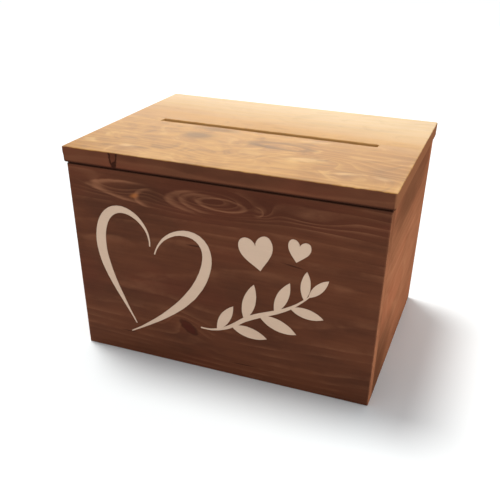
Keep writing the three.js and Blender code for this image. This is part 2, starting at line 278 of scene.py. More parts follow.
class Graph:
    """A node material, built up from small expressions."""

    def __init__(self, name):
        self.material = bpy.data.materials.new(name)
        self.material.use_nodes = True
        self.tree = self.material.node_tree
        self.tree.nodes.clear()
        output = self.tree.nodes.new("ShaderNodeOutputMaterial")
        self.shader = self.tree.nodes.new("ShaderNodeBsdfPrincipled")
        self.tree.links.new(self.shader.outputs["BSDF"], output.inputs["Surface"])
        self.place = self.tree.nodes.new("ShaderNodeTexCoord").outputs["Object"]

    def feed(self, value, socket):
        if isinstance(value, bpy.types.NodeSocket):
            self.tree.links.new(value, socket)
        else:
            socket.default_value = value

    def math(self, operation, *values):
        node = self.tree.nodes.new("ShaderNodeMath")
        node.operation = operation
        for value, socket in zip(values, node.inputs):
            self.feed(value, socket)
        return node.outputs[0]

    def add(self, *values):
        total = values[0]
        for value in values[1:]:
            total = self.math("ADD", total, value)
        return total

    def times(self, a, b):
        return self.math("MULTIPLY", a, b)

    def minus(self, a, b):
        return self.math("SUBTRACT", a, b)

    def split(self, vector):
        node = self.tree.nodes.new("ShaderNodeSeparateXYZ")
        self.feed(vector, node.inputs[0])
        return node.outputs

    def join(self, x, y, z):
        node = self.tree.nodes.new("ShaderNodeCombineXYZ")
        for value, socket in zip((x, y, z), node.inputs):
            self.feed(value, socket)
        return node.outputs[0]

    def step(self, value, low, high, to_low=0.0, to_high=1.0):
        """A smooth step of the value between two limits."""
        node = self.tree.nodes.new("ShaderNodeMapRange")
        node.interpolation_type = "SMOOTHSTEP"
        for given, socket in zip((value, low, high, to_low, to_high), node.inputs):
            self.feed(given, socket)
        return node.outputs[0]

    def noise(self, vector, scale=1.0, detail=2.0, roughness=0.5, distortion=0.0):
        node = self.tree.nodes.new("ShaderNodeTexNoise")
        self.feed(vector, node.inputs["Vector"])
        node.inputs["Scale"].default_value = scale
        node.inputs["Detail"].default_value = detail
        node.inputs["Roughness"].default_value = roughness
        node.inputs["Distortion"].default_value = distortion
        return node.outputs["Fac"]

    def ramp(self, value, stops):
        node = self.tree.nodes.new("ShaderNodeValToRGB")
        self.feed(value, node.inputs[0])
        elements = node.color_ramp.elements
        while len(elements) < len(stops):
            elements.new(0.5)
        for element, (position, level) in zip(elements, stops):
            element.position = position
            element.color = (level, level, level, 1)
        return node.outputs[0]

    def mix(self, share, a, b):
        node = self.tree.nodes.new("ShaderNodeMix")
        node.data_type = "RGBA"
        self.feed(share, node.inputs[0])
        for value, socket in zip((a, b), node.inputs[6:8]):
            self.feed(value if isinstance(value, bpy.types.NodeSocket) else (*value, 1), socket)
        return node.outputs[2]

    def shade(self, colour, level):
        """The colour made lighter or darker by a level that is 1 where nothing changes."""
        node = self.tree.nodes.new("ShaderNodeVectorMath")
        node.operation = "SCALE"
        self.feed(colour, node.inputs[0])
        self.feed(level, node.inputs["Scale"])
        return node.outputs[0]

    def bump(self, height, strength, distance):
        node = self.tree.nodes.new("ShaderNodeBump")
        node.inputs["Strength"].default_value = strength
        node.inputs["Distance"].default_value = distance
        self.feed(height, node.inputs["Height"])
        self.feed(node.outputs[0], self.shader.inputs["Normal"])

    def finish(self, colour, roughness, **constants):
        self.feed(colour, self.shader.inputs["Base Color"])
        self.feed(roughness, self.shader.inputs["Roughness"])
        for name, value in constants.items():
            self.shader.inputs[name.replace("_", " ")].default_value = value
        return self.material


def linear(red, green, blue):
    """An sRGB colour of 0 to 255 as the linear values that a shader takes."""
    parts = [part / 255 for part in (red, green, blue)]
    return tuple(p / 12.92 if p <= 0.04045 else ((p + 0.055) / 1.055) ** 2.4 for p in parts)


WALNUT = (linear(102, 59, 40), linear(86, 50, 35), linear(164, 110, 80), linear(104, 53, 38))
# Partly painted light: a lighter copy of the walnut for the side walls and the sawn ends that face them, as if lit
# from the side.
LIT_SIDE_WALNUT = (linear(164, 108, 78), linear(144, 93, 67), linear(182, 126, 92), linear(168, 100, 72))
PLY = (linear(160, 122, 84), linear(140, 104, 70), linear(184, 146, 104), linear(164, 118, 78))
KNOT_HEART = linear(70, 26, 20)
KNOT_RIM = linear(38, 20, 14)
CRACK = linear(46, 26, 18)
ORANGE_WOOD = linear(180, 108, 58)
# Painted shadow along the top of the walls, under the lid.
PAINTED_SEAM_SHADOW = linear(50, 27, 20)
# The dark rim of the lid's front knot, and also the painted shadow along the lid's lower front edge.
LID_KNOT_RIM_AND_SEAM_SHADOW = linear(44, 24, 18)
# Painted light: the lid's right edge, lit from the right like the side walls.
LIT_LID_RIGHT_EDGE = linear(138, 91, 64)
BARE_WOOD = linear(226, 182, 120)


class Pine(Graph):
    """Pine sawn from a log: growth rings round a pith, drifting along the grain, with knots and pores.
    Along, across and through are object axes such as "+X"; through points out of the shown face."""

    def __init__(self, name, along, across, through, pith, pitch, seed):
        super().__init__(name)
        parts = dict(zip("XYZ", self.split(self.place)))
        self.l, self.w, self.t = [
            parts[axis[1]] if axis[0] == "+" else self.times(parts[axis[1]], -1.0)
            for axis in (along, across, through)]
        self.pitch = pitch
        self.seed = seed
        low = self.noise(self.stretched(2.6, 9, 9, 0), detail=2.0, roughness=0.45)
        fine = self.noise(self.stretched(14, 60, 60, 3), detail=3.0)
        from_pith = self.math("SQRT", self.add(
            self.math("POWER", self.minus(self.w, pith[0]), 2.0),
            self.math("POWER", self.minus(self.t, pith[1]), 2.0)))
        self.field = self.add(
            from_pith,
            self.times(self.minus(low, 0.5), 0.032),
            self.times(self.minus(fine, 0.5), 0.0022))

    def stretched(self, along, across, through, shift):
        """Coordinates for noise that runs along the grain."""
        return self.join(
            self.add(self.times(self.l, along), self.seed + shift),
            self.times(self.w, across),
            self.times(self.t, through))

    def spot(self, place, sizes, tilt=0.0):
        """Distance from a place on the shown face, 1 at the edge of a tilted ellipse."""
        dl, dw = self.minus(self.l, place[0]), self.minus(self.w, place[1])
        cos, sin = math.cos(tilt), math.sin(tilt)
        long = self.times(self.add(self.times(dl, cos), self.times(dw, sin)), 1 / sizes[0])
        short = self.times(self.minus(self.times(dw, cos), self.times(dl, sin)), 1 / sizes[1])
        squares = self.add(self.math("POWER", long, 2.0), self.math("POWER", short, 2.0))
        return self.math("SQRT", squares)

    def bend(self, place, sizes, height, tilt=0.0):
        """Makes the rings flow round a place, which shows as ovals or flames."""
        distance = self.spot(place, sizes, tilt)
        hill = self.math("EXPONENT", self.times(self.math("POWER", distance, 2.0), -1.0))
        self.field = self.add(self.field, self.times(hill, height))

    def rings(self):
        """0 in the early wood of each ring, rising to 1 in its late wood."""
        uneven = self.noise(self.join(self.times(self.field, 38), self.seed, 0.0), detail=1.0)
        phase = self.add(self.times(self.field, 1 / self.pitch), self.times(uneven, 1.6))
        saw = self.math("FRACT", phase)
        return self.ramp(saw, [(0.0, 0.0), (0.45, 0.05), (0.76, 0.60), (0.90, 1.0), (1.0, 0.0)])

    def fibres(self):
        return self.noise(self.stretched(14, 900, 900, 5), detail=2.0, roughness=0.6)

    def streaks(self):
        return self.noise(self.stretched(5, 150, 150, 7), detail=3.0, roughness=0.6)

    def blotches(self):
        return self.noise(self.stretched(9, 24, 24, 9), detail=4.0, roughness=0.6)


def worn_edges(graph, low, high, reach):
    """1 on the edges of a board and 0 a little way in from them."""
    parts = graph.split(graph.place)
    gaps = []
    for axis in range(3):
        from_low = graph.minus(parts[axis], low[axis])
        from_high = graph.minus(high[axis], parts[axis])
        gaps.append(graph.math("MINIMUM", from_low, from_high))
    a, b, c = gaps
    middle = graph.math(
        "MAXIMUM", graph.math("MINIMUM", a, b),
        graph.math("MINIMUM", graph.math("MAXIMUM", a, b), c))
    rubbed = graph.noise(graph.place, scale=160, detail=3.0)
    return graph.step(graph.minus(middle, graph.times(rubbed, reach)), 0.0, reach, 1.0, 0.0)


def stained_pine(name, board, axes, pith, tones, seed, bends=(), knots=(), dashes=(), glow=None, lively=(),
                 arcs=(), uneven_shade=(), seam_shadow=0.8, sheen=0.04):
    """Walnut-stained pine. The early wood drinks the stain and goes dark; the late wood shows as tan lines,
    clearly in the lively places and faintly elsewhere. An arc is one ring that stands out, fading along the
    board from whole to gone. A dash is a dark crack, and the glow is one spot that stayed orange. The places
    of uneven shade are painted shade: patches darkened as if less light fell there. The seam shadow is painted
    shadow: how dark the shown face goes along its top, under the lid."""
    base, dark, tan, red = tones
    wood = Pine(name, *axes, pith, WALL_RINGS, seed)
    for bend in bends:
        wood.bend(*bend)
    for place, sizes, tilt in knots:
        wood.bend(place, [size * 2.6 for size in sizes], 0.012, tilt)
    rings, fibres = wood.rings(), wood.fibres()
    streaks, blotches = wood.streaks(), wood.blotches()
    cloud = wood.noise(wood.stretched(5, 12, 12, 15), detail=3.0, roughness=0.55)
    patchy = wood.noise(wood.stretched(22, 48, 48, 11), detail=3.0, roughness=0.6)
    vivid = wood.step(patchy, 0.40, 0.66, 0.03, 0.22)
    for place, sizes, strength in lively:
        near = wood.step(wood.spot(place, sizes), 0.45, 1.25, strength, 0.0)
        near = wood.times(near, wood.step(patchy, 0.28, 0.52, 0.45, 1.0))
        vivid = wood.math("MAXIMUM", vivid, near)
    colour = wood.mix(wood.step(blotches, 0.34, 0.70), base, dark)
    colour = wood.mix(wood.step(cloud, 0.44, 0.66, 0.0, 0.42), colour, red)
    colour = wood.mix(wood.times(rings, vivid), colour, tan)
    for place, sizes, tilt, share, whole, gone in arcs:
        distance = wood.add(wood.spot(place, sizes, tilt), wood.times(wood.minus(patchy, 0.5), 0.5))
        line = wood.times(wood.step(distance, 0.70, 0.98), wood.step(distance, 1.0, 1.14, 1.0, 0.0))
        line = wood.times(line, wood.step(streaks, 0.30, 0.60, 0.55, 1.0))
        if whole < gone:
            near = wood.step(wood.l, whole, gone, share, 0.0)
        else:
            near = wood.step(wood.l, gone, whole, 0.0, share)
        colour = wood.mix(wood.times(line, near), colour, tan)
    # Painted shade: each patch darkens the colour as if less light fell there.
    for place, sizes, share in uneven_shade:
        near = wood.add(wood.spot(place, sizes), wood.times(wood.minus(cloud, 0.5), 0.8))
        colour = wood.shade(colour, wood.step(near, 0.1, 1.3, 1.0 - share, 1.0))
    level = wood.add(
        1.0,
        wood.times(wood.minus(fibres, 0.5), 0.22),
        wood.times(wood.minus(streaks, 0.5), 0.42))
    colour = wood.shade(colour, level)
    rough = wood.add(0.50, wood.times(rings, 0.10), wood.times(fibres, 0.12))
    for place, sizes, tilt in knots:
        edge = wood.noise(wood.place, scale=260, detail=2.0)
        distance = wood.add(wood.spot(place, sizes, tilt), wood.times(wood.minus(edge, 0.5), 0.5))
        heart = wood.step(distance, 0.75, 1.15, 1.0, 0.0)
        rim = wood.times(wood.step(distance, 0.7, 1.0), wood.step(distance, 1.0, 1.35, 1.0, 0.0))
        colour = wood.mix(wood.times(heart, 0.75), colour, KNOT_HEART)
        colour = wood.mix(wood.times(rim, 0.45), colour, KNOT_RIM)
    for place, sizes, tilt in dashes:
        distance = wood.spot(place, sizes, tilt)
        colour = wood.mix(wood.step(distance, 0.3, 1.1, 0.7, 0.0), colour, CRACK)
    if glow:
        place, sizes, tilt = glow
        distance = wood.add(wood.spot(place, sizes, tilt), wood.times(wood.minus(patchy, 0.5), 2.4))
        colour = wood.mix(wood.step(distance, 0.2, 1.2, 0.7, 0.0), colour, ORANGE_WOOD)
    edges = worn_edges(wood, *board, 1.6 * MM)
    colour = wood.mix(wood.times(edges, 0.12), colour, tan)
    shown = board[1] if axes[2][0] == "+" else -board[0]
    # Painted shadow under the lid: the shown face darkens along its top, towards the seam.
    skin = wood.step(wood.minus(shown["XYZ".index(axes[2][1])], wood.t), 1.5 * MM, 3.0 * MM, 1.0, 0.0)
    seam_shadow_mask = wood.step(wood.minus(board[1].z, wood.split(wood.place)[2]), 0.5 * MM, 2.2 * MM, seam_shadow, 0.0)
    colour = wood.mix(wood.times(skin, seam_shadow_mask), colour, PAINTED_SEAM_SHADOW)
    wood.bump(wood.add(wood.times(rings, 0.5), fibres, wood.times(streaks, 0.5)), 0.2, 0.3 * MM)
    return wood.finish(colour, rough, Specular_IOR_Level=sheen)


def honey_lid_pine(board, name, gloss):
    """The lid: a golden brown top with a swirling figure, paler towards the back with painted glare. Its sides
    and underside are as dark as the walls, partly stain and partly painted shade against the top's painted
    light from above; the right edge is lighter with painted light from the right, and the lower front edge
    darkens with painted shadow at the seam. The wood inside the slot is bare."""
    low, high = board
    wood = Pine(name, "+X", "+Y", "+Z", (0.02, high.z - LID_PITH_DEPTH), LID_RINGS, 4.2)
    figure = [
        ((0.036, -0.044), (0.034, 0.014), 0.018, 0.0),
        ((-0.062, -0.036), (0.040, 0.018), 0.014, 0.25),
        ((-0.020, -0.100), (0.030, 0.022), -0.016, -0.2),
        ((0.078, -0.078), (0.056, 0.022), 0.030, 0.12),
        ((0.150, -0.110), (0.034, 0.012), 0.014, 0.1),
        ((-0.115, -0.108), (0.040, 0.014), 0.010, 0.0),
    ]
    for bend in figure:
        wood.bend(*bend)
    rings, fibres = wood.rings(), wood.fibres()
    streaks, blotches = wood.streaks(), wood.blotches()
    curl = wood.noise(wood.stretched(19, 26, 26, 2), detail=2.5, roughness=0.5, distortion=2.2)
    haze = wood.noise(wood.stretched(7, 14, 14, 6), detail=2.0, roughness=0.5)
    figured = wood.step(wood.add(wood.w, wood.times(wood.minus(haze, 0.5), 0.10)), -0.03, 0.03, 1.0, 0.25)
    honey = wood.mix(wood.step(haze, 0.36, 0.64), linear(188, 137, 74), linear(170, 118, 60))
    honey = wood.mix(figured, linear(196, 147, 86), honey)
    warm = wood.step(wood.add(wood.l, wood.times(wood.w, 0.6)), -0.19, -0.02, 0.6, 0.0)
    honey = wood.mix(warm, honey, linear(176, 126, 66))
    # Painted glare: the back of the top goes paler, as a sheen of light from behind.
    pale = wood.add(wood.w, wood.times(wood.l, 0.12), wood.times(wood.minus(haze, 0.5), 0.05))
    honey = wood.mix(wood.step(pale, 0.0, 0.13), honey, linear(209, 178, 132))
    honey = wood.mix(wood.times(wood.step(blotches, 0.45, 0.68), wood.times(figured, 0.55)),
                     honey, linear(150, 102, 58))
    honey = wood.mix(wood.times(wood.step(curl, 0.50, 0.76, 0.0, 0.62), figured), honey, linear(134, 92, 54))
    honey = wood.mix(wood.times(wood.step(curl, 0.48, 0.26, 0.0, 0.6), figured), honey, linear(208, 162, 100))
    honey = wood.mix(wood.times(wood.times(rings, figured), 0.34), honey, linear(218, 176, 116))
    for place, sizes, tilt, share in (
            ((-0.066, -0.044), (0.022, 0.016), 0.2, 0.70), ((-0.056, -0.012), (0.030, 0.009), 0.0, 0.60),
            ((0.020, -0.052), (0.024, 0.006), -0.1, 0.6), ((-0.105, -0.112), (0.014, 0.004), 0.0, 0.45)):
        distance = wood.add(wood.spot(place, sizes, tilt), wood.times(wood.minus(curl, 0.5), 1.2))
        honey = wood.mix(wood.step(distance, 0.2, 1.3, share, 0.0), honey, linear(116, 82, 52))
    for place, sizes, tilt, share in (
            ((0.076, -0.080), (0.030, 0.008), 0.2, 0.35), ((0.126, -0.108), (0.018, 0.006), 0.25, 0.4),
            ((0.164, -0.108), (0.014, 0.006), -0.2, 0.3), ((0.067, -0.014), (0.020, 0.006), 0.1, 0.35),
            ((-0.121, -0.111), (0.010, 0.006), 0.1, 0.4), ((-0.172, -0.106), (0.010, 0.007), 0.1, 0.3)):
        distance = wood.add(wood.spot(place, sizes, tilt), wood.times(wood.minus(curl, 0.5), 1.6))
        honey = wood.mix(wood.step(distance, 0.3, 1.2, share, 0.0), honey, linear(232, 196, 142))
    eye = wood.add(wood.spot((0.036, -0.045), (0.034, 0.011), -0.05), wood.times(wood.minus(curl, 0.5), 0.5))
    ring = wood.times(wood.step(eye, 0.72, 0.95), wood.step(eye, 1.0, 1.3, 1.0, 0.0))
    honey = wood.mix(wood.times(ring, 0.5), honey, linear(118, 84, 54))
    walnut = wood.mix(wood.step(blotches, 0.38, 0.66), linear(110, 67, 48), linear(92, 56, 41))
    walnut = wood.mix(wood.step(haze, 0.45, 0.62, 0.0, 0.7), walnut, linear(116, 64, 47))
    walnut = wood.mix(wood.times(rings, 0.32), walnut, linear(134, 86, 62))
    parts = wood.split(wood.place)
    inset = wood.math("MINIMUM",
                      wood.math("MINIMUM", wood.minus(parts[0], low.x), wood.minus(high.x, parts[0])),
                      wood.math("MINIMUM", wood.minus(parts[1], low.y), wood.minus(high.y, parts[1])))
    # Noise that makes the edge of the darker sides uneven; the sides are partly painted shade.
    uneven_shade = wood.times(wood.minus(wood.noise(wood.place, scale=110, detail=3.0), 0.5), 1.4 * MM)
    from_top = wood.add(wood.minus(high.z, parts[2]), uneven_shade)
    # The sides and underside take the walnut: partly their stain, partly painted shade where they face away from
    # the light above.
    side = wood.times(wood.step(inset, 2.6 * MM, 3.4 * MM, 1.0, 0.0), wood.step(from_top, 0.1 * MM, 0.9 * MM))
    under = wood.step(wood.minus(parts[2], low.z), 1.6 * MM, 3.0 * MM, 1.0, 0.0)
    dark = wood.math("MAXIMUM", side, under)
    # Painted light: the lid's right edge is lighter, as if lit from the right like the side walls.
    lit_right_edge = wood.step(wood.minus(high.x, parts[0]), 1.0 * MM, 3.0 * MM, 1.0, 0.0)
    walnut = wood.mix(lit_right_edge, walnut, LIT_LID_RIGHT_EDGE)
    front = wood.step(wood.minus(parts[1], low.y), 2.0 * MM, 4.0 * MM, 1.0, 0.0)
    ragged = wood.times(wood.minus(wood.noise(wood.place, scale=240, detail=3.0), 0.5), 0.9)
    knot = wood.add(ragged, wood.math("SQRT", wood.add(
        wood.math("POWER", wood.times(wood.add(parts[0], 0.1215), 1 / 0.0048), 2.0),
        wood.math("POWER", wood.times(wood.minus(parts[2], high.z), 1 / 0.0145), 2.0))))
    rim = wood.times(wood.step(knot, 0.62, 0.88), wood.step(knot, 0.98, 1.30, 1.0, 0.0))
    walnut = wood.mix(wood.times(front, wood.step(knot, 0.7, 1.0, 0.5, 0.0)), walnut, linear(84, 42, 30))
    walnut = wood.mix(wood.times(wood.times(rim, front), 0.85), walnut, LID_KNOT_RIM_AND_SEAM_SHADOW)
    # Painted shadow: the lid's front goes dark along its lower edge, at the seam.
    seam_shadow_mask = wood.times(front, wood.step(wood.minus(parts[2], low.z), 1.2 * MM, 3.6 * MM, 0.85, 0.0))
    walnut = wood.mix(seam_shadow_mask, walnut, LID_KNOT_RIM_AND_SEAM_SHADOW)
    sawn = wood.times(wood.step(inset, 20 * MM, 21 * MM), wood.step(from_top, 0.3 * MM, 1.0 * MM))
    honey = wood.mix(sawn, honey, BARE_WOOD)
    # Partly painted light: the honey top as if lit from above, against the walnut sides and underside.
    colour = wood.mix(dark, honey, walnut)
    level = wood.add(
        1.0,
        wood.times(wood.minus(fibres, 0.5), 0.10),
        wood.times(wood.minus(streaks, 0.5), 0.13))
    colour = wood.shade(colour, level)
    rough = wood.add(0.36, wood.times(rings, 0.08), wood.times(fibres, 0.14))
    wood.bump(wood.add(wood.times(rings, 0.4), fibres, wood.times(streaks, 0.5)), 0.16, 0.25 * MM)
    return wood.finish(colour, rough, Specular_IOR_Level=gloss)


def floor_material():
    graph = Graph("pale floor")
    speckle = graph.noise(graph.place, scale=6, detail=4.0)
    colour = graph.mix(speckle, (0.87, 0.91, 0.94), (0.89, 0.93, 0.96))
    return graph.finish(colour, 0.85, Specular_IOR_Level=0.2)


def add_floor():
    """A floor of small squares, far larger than the view."""
    material = floor_material()
    side = 30.0
    rows = 12
    vertices, faces = [], []
    for i in range(rows + 1):
        for j in range(rows + 1):
            vertices.append((side * (i / rows - 0.5), side * (j / rows - 0.5), 0))
    for i in range(rows):
        for j in range(rows):
            a = i * (rows + 1) + j
            faces.append((a, a + rows + 1, a + rows + 2, a + 1))
    make_object("floor", mesh_from("floor", vertices, faces), material)


def add_board(name, node, body, material, radius, seed):
    low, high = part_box(node)
    piece = make_object(name, rounded_board(name, low, high, radius, seed=seed), material)
    smooth(piece)
    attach(piece, body)
    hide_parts(node)
    return piece


def tone_ends_like_lit_sides(wall, material):
    """Gives the sawn ends of a wall, which face the sides of the box, a material of their own; the walls give them
    the sides' lighter copy of the walnut, which is partly painted light.
    """
    wall.data.materials.append(material)
    for face in wall.data.polygons:
        if abs(face.normal.x) > 0.6:
            face.material_index = 1


def add_walls():
    """The four walls and the base. The figure that shows on the photo's front is placed by the bends and
    arcs, in metres along X and Z."""
    front_axes = ("+X", "+Z", "-Y")
    front_pith = (0.115, -FRONT_FACE - PITH_DEPTH)
    front = stained_pine(
        "front pine", FRONT_BOX, front_axes, front_pith, WALNUT, 1.3,
        bends=[((-0.006, 0.2150), (0.058, 0.0135), 0.0340), ((-0.120, 0.2172), (0.048, 0.0105), 0.0162),
               ((0.050, 0.213), (0.010, 0.006), 0.008), ((0.105, 0.214), (0.032, 0.008), 0.009),
               ((-0.088, 0.2120), (0.018, 0.0060), -0.007)],
        knots=[((-0.040, 0.054), (0.0120, 0.0058), -0.6)],
        dashes=[((-0.028, 0.162), (0.014, 0.0014), 0.0), ((0.086, 0.159), (0.015, 0.0011), -0.13),
                ((0.030, 0.018), (0.020, 0.0009), 0.02), ((-0.120, 0.030), (0.016, 0.0009), 0.0)],
        glow=((-0.0990, 0.2102), (0.0075, 0.0040), 0.3),
        lively=[((-0.118, 0.2165), (0.052, 0.0115), 0.30), ((-0.012, 0.2160), (0.062, 0.0115), 0.30),
                ((0.052, 0.212), (0.016, 0.012), 0.3), ((0.122, 0.212), (0.060, 0.016), 0.50)],
        arcs=[((-0.088, 0.2130), (0.066, 0.0108), -0.05, 0.60, -0.120, -0.078),
              ((-0.079, 0.2095), (0.021, 0.0105), 0.0, 0.50, -0.094, -0.074),
              ((-0.012, 0.2120), (0.048, 0.0125), -0.03, 0.50, -0.048, -0.014),
              ((-0.010, 0.2130), (0.033, 0.0098), -0.03, 0.50, -0.030, 0.000),
              ((0.003, 0.2145), (0.027, 0.0068), -0.02, 0.58, 0.026, 0.060),
              ((0.042, 0.2135), (0.009, 0.0055), -0.2, 0.50, 0.048, 0.038)],
        # Painted shade: darker along the top of the front, under the lid.
        uneven_shade=[((0.040, 0.226), (0.210, 0.034), 0.25)])
    front_ends = stained_pine(
        "front end grain", FRONT_BOX, front_axes, front_pith, LIT_SIDE_WALNUT, 1.3,
        # Painted shade: darker towards the top of the right-hand sawn end.
        uneven_shade=[((0.18, 0.225), (0.10, 0.060), 0.35)], sheen=0.0)
    wall = add_board("front_wall", "front_panel", "box", front, SHOWN_RADIUS, 1.0)
    tone_ends_like_lit_sides(wall, front_ends)
    back_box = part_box("back_panel")
    back_axes = ("-X", "+Z", "+Y")
    back_pith = (0.13, back_box[1].y - PITH_DEPTH)
    back = stained_pine(
        "back pine", back_box, back_axes, back_pith, WALNUT, 8.8,
        bends=[((0.06, 0.15), (0.06, 0.016), 0.018)],
        knots=[((0.10, 0.07), (0.009, 0.007), 0.3)],
        lively=[((0.06, 0.15), (0.10, 0.03), 0.6)])
    wall = add_board("back_wall", "back_panel", "box", back, SHOWN_RADIUS, 2.0)
    back_ends = stained_pine("back end grain", back_box, back_axes, back_pith, LIT_SIDE_WALNUT, 8.8, sheen=0.0)
    tone_ends_like_lit_sides(wall, back_ends)
    for side, through, seed in (("left", "-X", 12.4), ("right", "+X", 21.7)):
        node = f"{side}_side_panel"
        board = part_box(node)
        face = board[1].x if side == "right" else -board[0].x
        # The side walls take the lighter copy of the walnut, partly painted light from the side.
        wood = stained_pine(
            f"{side} pine", board, ("+Y", "+Z", through), (0.10, face - PITH_DEPTH), LIT_SIDE_WALNUT, seed,
            sheen=0.0,
            bends=[((-0.02, 0.10), (0.07, 0.03), 0.014)],
            lively=[((-0.02, 0.12), (0.12, 0.09), 0.35)],
            # Painted shade: darker at the top under the lid and low at the front, with a lighter band between as
            # if lit.
            uneven_shade=[((0.02, 0.225), (0.22, 0.060), 0.48), ((-0.12, 0.02), (0.09, 0.10), 0.53)])
        add_board(f"{side}_wall", node, "box", wood, SAWN_RADIUS, seed)
    base_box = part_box("base_panel")
    base = stained_pine(
        "base ply", base_box, ("+X", "+Y", "+Z"), (0.0, base_box[1].z - BASE_PITH_DEPTH), PLY, 31.0, seam_shadow=0.0,
        lively=[((0, 0), (0.2, 0.2), 0.4)])
    add_board("base_board", "base_panel", "box", base, SAWN_RADIUS, 3.0)


def add_lid():
    low, high = LID_BOX
    opening = next(o for o in frame["record"]["physics"]["openings"] if o["name"] == "card_slot")
    slot_low, slot_high = Vector(opening["box_m"][0]), Vector(opening["box_m"][1])
    slot_low, slot_high = slot_low - SLOT_MARGIN, slot_high + SLOT_MARGIN
    slot_low.z, slot_high.z = low.z, high.z
    mesh = rounded_board("lid", low, high, SHOWN_RADIUS, wear=0.4 * MM, seed=6.0, under=LID_UNDER_RADIUS)
    board = make_object("lid", mesh, honey_lid_pine(LID_BOX, "honey lid pine", 0.12))
    board.data.materials.append(honey_lid_pine(LID_BOX, "lid edge pine", 0.0))
    for face in board.data.polygons:
        face.material_index = 0 if face.normal.z > 0.8 else 1
    lid = combined(board, slot_cutter(slot_low, slot_high, SLOT_CORNER, SLOT_FLARE), "DIFFERENCE")
    smooth(lid)
    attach(lid, "lid")
    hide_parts("lid_board")


def turned(name, profile, sides, material, axis):
    """A solid of revolution about an object axis; the profile runs from one end to the other."""
    rings, vertices, faces = [], [], []
    for radius, along in profile:
        if radius == 0:
            rings.append([len(vertices)])
            vertices.append((0, 0, along))
            continue
        rings.append(list(range(len(vertices), len(vertices) + sides)))
        for side in range(sides):
            angle = 2 * math.pi * side / sides
            vertices.append((radius * math.cos(angle), radius * math.sin(angle), along))
    for first, second in zip(rings, rings[1:]):
        for side in range(sides):
            a, b = first[side % len(first)], first[(side + 1) % len(first)]
            c, d = second[(side + 1) % len(second)], second[side % len(second)]
            faces.append([v for i, v in enumerate((a, b, c, d)) if v not in (a, b, c, d)[:i]])
    piece = make_object(name, mesh_from(name, vertices, faces), material)
    turn = Vector((0, 0, 1)).rotation_difference(Vector(axis))
    piece.data.transform(turn.to_matrix().to_4x4())
    return piece


def block(name, low, high):
    """A plain cutter or core, used up by a boolean."""
    corners = [(x, y, z) for x in (low[0], high[0]) for y in (low[1], high[1]) for z in (low[2], high[2])]
    faces = [(0, 1, 3, 2), (4, 6, 7, 5), (0, 4, 5, 1), (2, 3, 7, 6), (0, 2, 6, 4), (1, 5, 7, 3)]
    return make_object(name, mesh_from(name, corners, faces), None)


def placed(piece, node, body):
    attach(piece, body)
    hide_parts(node)


def add_screw(node, body, material):
    """A countersunk wood screw with a cross recess and a cut thread, driven towards -Y."""
    low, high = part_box(node)
    centre = (low + high) / 2
    head = (high.x - low.x) / 2
    length = high.y - low.y
    shank = head * 0.52
    crown = 0.10 * MM
    profile = [(0, crown), (head * 0.62, 0.04 * MM), (head * 0.94, -0.08 * MM), (head, -0.22 * MM),
               (head * 0.97, -0.40 * MM), (shank, -1.55 * MM), (shank, -4.2 * MM)]
    turns, thread_start, plain_length = 9, 4.6 * MM, 5.2 * MM
    for step in range(4 * turns):
        share = step / (4 * turns)
        depth = thread_start + share * (length - plain_length)
        crest = 1.0 if step % 4 == 1 else 0.74
        taper = 1.0 if share < 0.75 else 1.0 - 2.6 * (share - 0.75)
        profile.append((shank * crest * taper, -depth))
    profile.append((0, -length + 0.15 * MM))
    screw = turned(node + "_turned", profile, 28, material, (0, 1, 0))
    thin, long = 0.42 * MM, head * 0.58
    for half, other in ((thin, long), (long, thin)):
        arm = block("recess", (-half, -1.1 * MM, -other), (half, 1.0 * MM, other))
        screw = combined(screw, arm, "DIFFERENCE")
    screw.data.transform(Matrix.Translation((centre.x, high.y - crown, centre.z)))
    smooth(screw, 40)
    placed(screw, node, body)


def add_hinge_pin(node, material):
    low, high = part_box(node)
    centre = (low + high) / 2
    head = (high.z - low.z) / 2
    pin = head / 1.5
    length = high.x - low.x
    cap = 0.8 * MM
    profile = [(0, -length / 2), (pin * 0.7, -length / 2), (pin, -length / 2 + 0.4 * MM),
               (pin, length / 2 - cap), (head * 0.94, length / 2 - cap), (head, length / 2 - cap * 0.8),
               (head * 0.9, length / 2 - cap * 0.35), (head * 0.55, length / 2 - cap * 0.08), (0, length / 2)]
    piece = turned(node + "_turned", profile, 32, material, (1, 0, 0))
    piece.data.transform(Matrix.Translation(centre))
    smooth(piece, 40)
    placed(piece, node, "box")


def rounded_plate(name, x0, x1, z0, z1, y0, y1, radius, material):
    """A flat plate in X and Z with rounded corners and softened edges."""
    outline = []
    for cx, cz, start in ((x1 - radius, z1 - radius, 0), (x0 + radius, z1 - radius, 90),
                          (x0 + radius, z0 + radius, 180), (x1 - radius, z0 + radius, 270)):
        for step in range(7):
            angle = math.radians(start + 15 * step)
            outline.append((cx + radius * math.cos(angle), cz + radius * math.sin(angle)))
    count = len(outline)
    vertices = [(x, y0, z) for x, z in outline] + [(x, y1, z) for x, z in outline]
    faces = [tuple(range(count)), tuple(reversed(range(count, 2 * count)))]
    faces += [(i, i + count, (i + 1) % count + count, (i + 1) % count) for i in range(count)]
    return make_object(name, mesh_from(name, vertices, faces), material)


